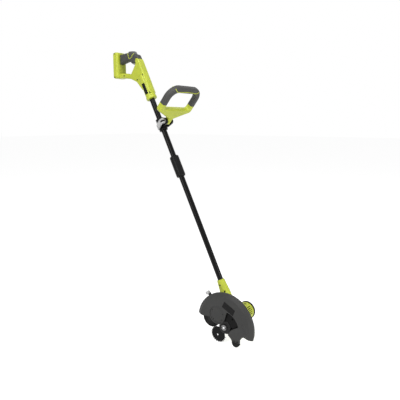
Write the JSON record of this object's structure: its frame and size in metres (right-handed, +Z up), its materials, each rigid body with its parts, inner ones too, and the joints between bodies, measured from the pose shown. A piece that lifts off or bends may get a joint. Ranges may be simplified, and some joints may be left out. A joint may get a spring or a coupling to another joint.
{
  "type": "lawn edger",
  "caption": "Battery lawn edger with D-shaped rear handle, tilting loop handle on a cam clamp, two-piece tube, geared head, toothed blade under a guard, skid and depth wheel.",
  "frame": {"origin": "on the ground, straight below the blade axle, in the middle plane of the tube", "axes": "+X forward, +Y away from the blade towards the motor cap, +Z up; the tube leans back towards -X"},
  "size_m": [0.852, 0.23, 1.301],
  "materials": {
    "green_plastic": "moulded lime-green plastic with a fine grain",
    "grip_rubber": "soft dark-grey overmould",
    "black_plastic": "moulded black plastic",
    "grey_plastic": "light-grey plastic",
    "guard_plastic": "dark-grey moulded plastic",
    "label_plastic": "bare dark plate",
    "wheel_plastic": "moulded black plastic",
    "tube_paint": "black powder coat over steel",
    "blade_paint": "black coated blade steel",
    "black_steel": "black oxide steel",
    "zinc_steel": "zinc-plated steel",
    "nut_steel": "bright turned steel",
    "bright_steel": "ground steel",
    "motor_steel": "plated sheet steel can",
    "gear_steel": "oiled gear steel",
    "cast_alloy": "die-cast alloy",
    "key_plastic": "mid-grey plastic",
    "case_paint": "black painted die casting",
    "contact_brass": "bare contact metal",
    "lead_jacket": "black jacket"
  },
  "bodies": {
    "tool": {"handle_left_half": "green_plastic", "handle_right_half": "green_plastic", "rear_grip": "grip_rubber", "handle_screws": "black_steel", "handle_badge": "black_plastic", "trigger_pin": "bright_steel", "lock_pin": "bright_steel", "trigger_spring": "bright_steel", "lock_spring": "bright_steel", "trigger_switch": "black_plastic", "battery_terminals": "black_plastic", "battery_contacts": "contact_brass", "lower_tube": "tube_paint", "upper_tube": "tube_paint", "coupler_sleeve": "black_plastic", "coupler_core": "black_plastic", "motor_lead": "lead_jacket", "lead_plug": "black_plastic", "head_front_half": "green_plastic", "head_rear_half": "green_plastic", "head_screws": "black_steel", "neck_screw": "black_steel", "motor_can": "motor_steel", "motor_cap": "black_plastic", "gear_plate": "cast_alloy", "rear_bearing": "bright_steel", "front_bearing": "bright_steel", "gear_case": "case_paint", "case_screws": "zinc_steel", "guard_face": "guard_plastic", "guard_label": "label_plastic", "guard_back": "black_plastic", "guard_screws": "black_steel", "plate_screws": "black_steel", "skid_foot": "black_plastic", "skid_screws": "black_steel", "arm_bolt": "black_steel"},
    "trigger": {"trigger": "grey_plastic"},
    "lock_key": {"lock_key": "key_plastic"},
    "clamp": {"clamp_body": "black_plastic", "pivot_bolt": "black_steel", "cam_washer": "zinc_steel", "cam_pin": "bright_steel"},
    "cam_lever": {"cam_lever": "grey_plastic"},
    "loop": {"loop_frame": "green_plastic", "loop_grip": "grip_rubber"},
    "spindle": {"spindle": "bright_steel", "spindle_gear": "gear_steel", "blade": "blade_paint", "blade_flange": "zinc_steel", "blade_washer": "black_steel", "blade_nut": "nut_steel"},
    "rotor": {"rotor_shaft": "bright_steel", "pinion": "gear_steel", "cooling_fan": "black_plastic"},
    "wheel_arm": {"wheel_arm": "black_steel", "depth_knob": "grey_plastic", "wheel_axle": "black_steel"},
    "wheel": {"wheel": "wheel_plastic"}
  },
  "joints": [
    {"name": "trigger_pull", "type": "hinge", "parent": "tool", "child": "trigger", "pos_m": [-0.57737, 0, 1.26006], "axis": [0, 1, 0], "range_deg": [0, 8], "stiffness_Nm_per_rad": 0.6, "springref_deg": -8.59, "deforming": ["trigger_spring"]},
    {"name": "lock_press", "type": "hinge", "parent": "tool", "child": "lock_key", "pos_m": [-0.61937, 0, 1.28706], "axis": [0, 1, 0], "range_deg": [0, 4], "stiffness_Nm_per_rad": 0.8, "springref_deg": -8.59, "deforming": ["lock_spring"]},
    {"name": "clamp_slide", "type": "slide", "parent": "tool", "child": "clamp", "axis": [-0.4415, 0, 0.8973], "range_m": [-0.09, 0.07]},
    {"name": "loop_tilt", "type": "hinge", "parent": "clamp", "child": "loop", "pos_m": [-0.38261, 0, 0.96866], "axis": [0, 1, 0], "range_deg": [-35, 30]},
    {"name": "cam_open", "type": "hinge", "parent": "clamp", "child": "cam_lever", "pos_m": [-0.38261, -0.034, 0.96866], "axis": [-0.4415, 0, 0.8973], "range_deg": [0, 105]},
    {"name": "blade_spin", "type": "hinge", "parent": "tool", "child": "spindle", "pos_m": [0, 0, 0.0792], "axis": [0, 1, 0], "continuous": true},
    {"name": "rotor_spin", "type": "hinge", "parent": "tool", "child": "rotor", "pos_m": [0.00229, 0, 0.09584], "axis": [0, 1, 0], "continuous": true},
    {"name": "depth_set", "type": "hinge", "parent": "tool", "child": "wheel_arm", "pos_m": [-0.03702, 0, 0.1302], "axis": [0, 1, 0], "range_deg": [-8, 12]},
    {"name": "wheel_roll", "type": "hinge", "parent": "wheel_arm", "child": "wheel", "pos_m": [-0.08801, 0, 0.09318], "axis": [0, 1, 0], "continuous": true}
  ],
  "couplings": [
    {"joint": "rotor_spin", "follows": "blade_spin", "ratio": -3}
  ]
}
